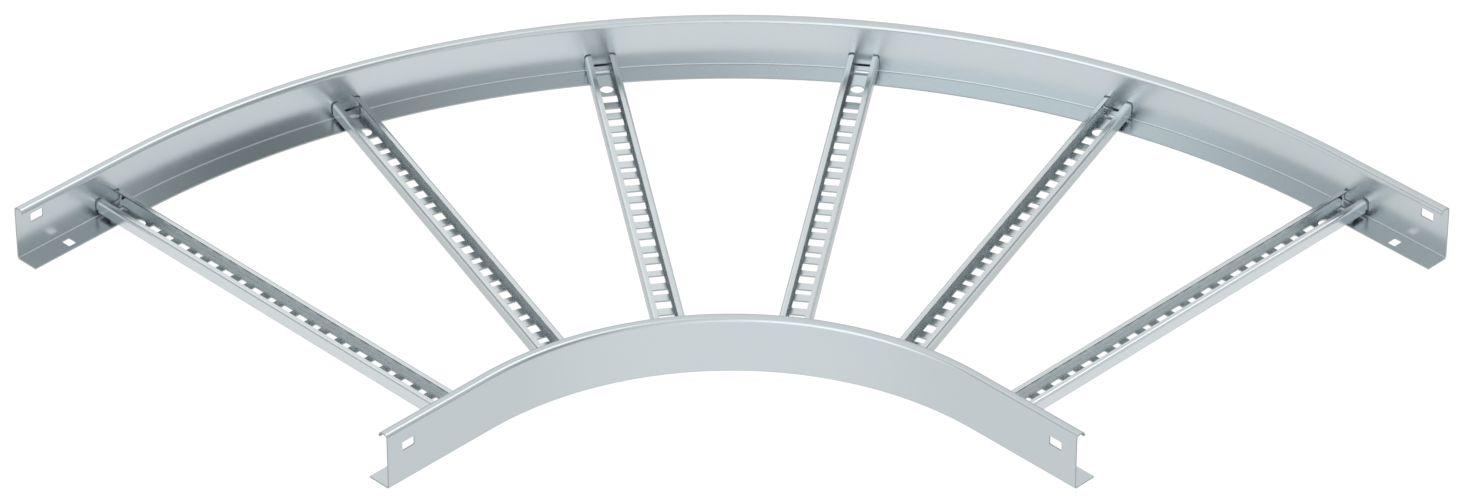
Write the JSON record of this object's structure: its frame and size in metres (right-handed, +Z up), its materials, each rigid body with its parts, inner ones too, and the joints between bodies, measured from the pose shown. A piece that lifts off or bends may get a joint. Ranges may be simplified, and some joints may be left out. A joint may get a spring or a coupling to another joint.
{
  "type": "cable ladder bend",
  "caption": "Flat quarter-turn bend of galvanised cable ladder: two curved side rails with inturned flanges, joined by perforated C-section rungs.",
  "frame": {"origin": "centre of the bounding box, on the floor that the flanges lie on", "axes": "+Z up; the two straight ends run towards -X and -Y, the arc bulges towards +X and +Y"},
  "size_m": [0.925, 0.925, 0.058],
  "materials": {
    "rail_zinc": "satin",
    "rung_zinc": "satin"
  },
  "bodies": {
    "root": {"inner_side_rail": "rail_zinc", "outer_side_rail": "rail_zinc", "rung_1": "rung_zinc", "rung_2": "rung_zinc", "rung_3": "rung_zinc", "rung_4": "rung_zinc", "rung_5": "rung_zinc", "rung_6": "rung_zinc"}
  },
  "joints": []
}
